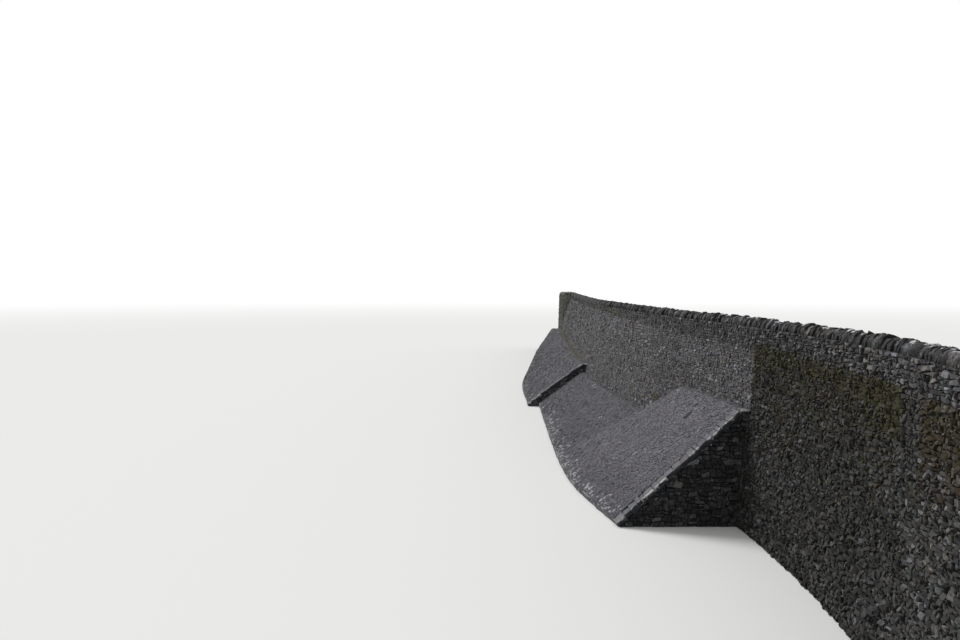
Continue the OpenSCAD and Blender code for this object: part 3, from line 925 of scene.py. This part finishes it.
def in_runs(places, runs):
    """Whether each place, (stones, 1), lies within one of some runs."""
    return ((runs[:, 0] < places) & (places < runs[:, 1])).any(axis=1, keepdims=True)


def lengths(rng, total, mean, spread=0.45):
    """Starts and ends of stones in a row that fill a length, each a random share of the mean."""
    edges = np.cumsum(mean * rng.uniform(1 - spread, 1 + spread, int(total / mean * 1.3) + 4))
    edges = np.concatenate([[0], edges[edges < total - mean * 0.5], [total]])
    return edges[:-1, None], edges[1:, None]


second_slope = corner_line(["second_apron_slope"], OUTER_HIGH)[0]
second_toe = corner_line(["second_apron_toe"], TOE_HIGH)[0]
CHEEK_DETAIL = {"rise": 0.0070, "gap": 0.0022, "pale": 0.004, "soft": 0.45}
# Stones lost from the first cheek, and its whitest: x, y, z, radius
CHEEK_LOST = [(4.45, 0.100, 0.395, 0.010), (4.45, 0.116, 0.388, 0.010), (4.45, 0.133, 0.380, 0.010)]
CHEEK_WHITE = [(4.45, -0.074, 0.176, 0.018), (4.45, 0.104, 0.344, 0.012)]
# Runs of y where the edge stones are white with lichen
EDGE_RUNS = {
    "first": np.array([(-0.37, -0.30), (-0.246, -0.118), (-0.025, 0.018), (0.0475, 0.20)]),
    "third": np.array([(-0.56, -0.40), (-0.10, -0.01)]),
    "fourth": np.array([(-0.30, -0.20)]),
}
for name, end, side, seed in (("first", -1, 1, 51), ("third", -1, 1, 52), ("fourth", 0, -1, 53)):
    rng = np.random.default_rng(seed)
    node, edge_node = name + "_apron_cheek", name + "_apron_edge"
    toe_low, toe_high = corner_line([node], TOE_LOW)[end], corner_line([node], TOE_HIGH)[end]
    foot, top = corner_line([node], INNER_LOW)[end], corner_line([node], INNER_HIGH)[end]
    brow = corner_line([node], OUTER_HIGH)[end]
    corners = [toe_low, foot, top, np.array([top[0], toe_low[1], top[2]])]
    place, width, height = panel(*corners)
    if side < 0:
        place = panel(corners[1], corners[0], corners[3], corners[2])[0]
    growth = (top[1] - toe_low[1]) / width - 1
    rake = along(0, [toe_high[1], brow[1]], [toe_high[2], brow[2]])

    def cheek_top(u):
        """The raking top over u on the foot, from where the widening panel puts that u up there."""
        along_foot = u if side > 0 else width - u
        rise = rake(toe_low[1] + along_foot) / height
        return rake(toe_low[1] + along_foot * (1 + growth * rise))

    def cheek_foot(u):
        """The level foot, or the second apron's slope, which the third cheek stands on."""
        if name != "third":
            return ground(u)
        y = toe_low[1] + u
        pitched = np.interp(y, [second_toe[1], second_slope[1]], [second_toe[2], second_slope[2]])
        return np.where(y < second_toe[1], 0, pitched - cheek_lap)

    cells = courses(rng, width, height, cheek_course, cheek_stone_len, split=0.3, big=0.16)
    stones = lay_stones(rng, cells, place, cheek_foot, cheek_top, **CHEEK_DETAIL)
    _, y, z = stones["points"].mean(axis=1).T
    under_edge = ramp(rake(y) - z, damp_under_edge, 0)
    stones["tone"] = stones["tone"] + 0.10 * under_edge * rng.random(len(y)) + 0.20 * (name == "third")
    stones["warmth"] = np.where(under_edge > 0.3, 0, stones["warmth"])
    stones["crest"] = 0.50 + 0.14 * under_edge * rng.random(len(y))
    stones["tone"] = np.where(near_spots(stones, CHEEK_WHITE), 1.6, stones["tone"])
    stones = chosen(stones, ~near_spots(stones, CHEEK_LOST))
    stone_piece(node + "_stones", [cheek_stone], [stones])

    # The edge stones, on a path from the toe up the rake and along the ledge
    depth = np.ptp([p[0] for p in corner_line([node], OUTER_HIGH)])
    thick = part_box(edge_node)[1].z - top[2]
    outward = np.array([side, 0, 0])
    rake_share = (brow - toe_high)[1] / np.linalg.norm(brow - toe_high)
    rows = []
    for low, high in ((toe_high, brow), (brow, top)):
        way = (high - low) / np.linalg.norm(high - low)
        normal = np.array([0, -way[2], way[1]])
        starts, ends = lengths(rng, np.linalg.norm(high - low), edge_stone_len)
        starts[0] -= edge_past_toe
        n = len(starts)
        middle = low + way * (starts + ends) / 2
        white = in_runs(middle[:, [1]], EDGE_RUNS[name])
        drop = rng.uniform(0.0, edge_drop, (n, 1))
        height = thick * rake_share * rng.uniform(0.86, 1.12, (n, 1))
        # The edge stones' outer end faces carry painted shade, deeper on the third edge's stones outside the
        # white runs
        dark = (name == "third") & ~white
        rows.append(blocks(
            rng,
            bed=middle - outward * (depth + edge_lap) - normal * drop,
            side=side * way * (ends - starts) * 0.49,
            up=normal * (height + drop),
            through=outward * (depth + edge_lap + rng.uniform(*edge_proud, (n, 1))),
            outline=outlines(rng, n, 8),
            spans=(0, 0.10, 0.84, 0.95, 1),
            sizes=(0.92, 1, 1, 1, 0.95),
            crest=(0, 0, 0, 1, 1),
            light=(0.85, 0.85, 0.85, np.where(dark, 0.6, 0.8), np.where(dark, 0.35, 0.40)),
            lichen=np.where(white, 0.82, rng.uniform(0.30, 0.50, (n, 1)) + 0.16 * (name == "first")),
            crown=0.78,
            even=0.5,
            soft=1.1,
            rough=0.0022,
        ))
    stone_piece(edge_node + "_stones", [edge_stone], rows, replaced=edge_node)


# The cope: rounded slabs set on edge side by side across the top of the parapet, leaning towards
# the near end. Their ragged tops are pale with lichen in runs, and their end faces and feet carry
# painted shade. The pier's slabs are paler, partly as painted light on their near faces that lie
# in shade, and stand two deep.
cope_stone = stone_material(
    "cope_stone", 0.008, (0.035, 0.034, 0.034), 0.16, crust=60, mottle=2.2, bump=0.003)
far_cope = stone_material("far_cope_stone", 0.022, (0.041, 0.041, 0.042), 0.13, crust=60)
# The pier's cope is paler partly as painted light, for its near faces that lie in the lamp's shade
pier_cope = stone_material(
    "pier_cope_stone", (0.11, 0.11, 0.096), (0.18, 0.178, 0.157), (0.28, 0.28, 0.26))
cope_thick = 0.025
cope_sunk = 0.003
cope_ragged = (-0.006, 0.005)
cope_lean = math.tan(math.radians(15))
calm_x = (5.8, 6.2)
ARCH_A = np.array([1, 1.0, 0.86, 0.46, -0.16, -0.62, -0.92, -1])
ARCH_B = np.array([-1, 0.0, 0.58, 0.96, 1.0, 0.62, -0.05, -1])
# Runs of x where the slabs' tops are whitest
COPE_RUNS = np.array([
    (3.90, 3.97), (4.24, 4.28), (4.35, 4.41), (4.59, 4.66), (4.93, 5.04), (5.16, 5.27), (5.32, 5.35),
    (5.45, 5.52), (5.55, 5.60), (6.03, 6.08), (6.13, 6.245), (6.28, 6.50),
])
rng = np.random.default_rng(71)
for name in [stretch + "_cope" for stretch in STRETCHES] + ["end_pier_cope"]:
    far = name.startswith(("third", "fourth", "end"))
    front, back = corner_line([name], OUTER_LOW), corner_line([name], INNER_LOW)
    low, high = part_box(name)
    starts, ends = lengths(rng, high.x - low.x, cope_thick, 0.50)
    n = len(starts)
    middle = low.x + (starts[:, 0] + ends[:, 0]) / 2
    front_y = np.interp(middle, front[:, 0], front[:, 1])
    back_y = np.interp(middle, back[:, 0], back[:, 1])
    # The slabs stand straighter and more level at the near end, and closer set far off
    loose = 0.4 if far else 1.0
    wild = loose * np.interp(middle, calm_x, [1.0, 0.4])
    tall = (high.z - low.z) * (0.97 + wild[:, None] * rng.uniform(-0.13, 0.12, (n, 1)))
    lean = cope_lean * wild * (1 + 0.3 * np.sin(middle * 5.1)) + wild * rng.normal(0, 0.06, n)
    rows = 2 if "pier" in name else 1
    white = in_runs(middle[:, None], COPE_RUNS)
    lichen = np.where(white, 0.78, rng.uniform(0.3, 0.40 if far else 0.56, (n, 1)))
    closest, widest = 1 - 0.24 * loose, 1 - 0.05 * loose
    made = []
    for row in range(rows):
        edge_0 = front_y + (back_y - front_y) * row / rows - loose * rng.uniform(*cope_ragged, n)
        edge_1 = front_y + (back_y - front_y) * (row + 1) / rows + loose * rng.uniform(*cope_ragged, n)
        start_x = low.x + starts[:, 0] - tall[:, 0] * lean / 2
        # The slabs' end faces and feet carry painted shade
        made.append(blocks(
            rng,
            bed=np.stack([start_x, (edge_0 + edge_1) / 2, 0 * middle + low.z - cope_sunk], axis=1),
            side=np.array([0, 0.5, 0]) * (edge_1 - edge_0)[:, None],
            up=np.concatenate([tall * lean[:, None], 0 * tall, tall + cope_sunk], axis=1),
            through=np.array([1, 0, 0]) * (ends - starts) * rng.uniform(closest, widest, (n, 1)),
            outline=(ARCH_A + rng.uniform(-0.12, 0.12, (n, 8)), ARCH_B + rng.uniform(-0.18, 0.06, (n, 8))),
            spans=(0, 0.08, 0.88, 1),
            sizes=(0.94, 1, 0.98, 0.90),
            crest=(0.4, 0.8, 0.8, 0.6) if far else (0.5, 1, 1, 0.8),
            light=(0.5, 1, 1, 0.8),
            lichen=lichen,
            even=0.8 if far else 0.1,
            rough=0.0012 if far else 0.0026,
        ))
    finish = pier_cope if "pier" in name else far_cope if far else cope_stone
    stone_piece(name + "_stones", [finish], made, replaced=name)
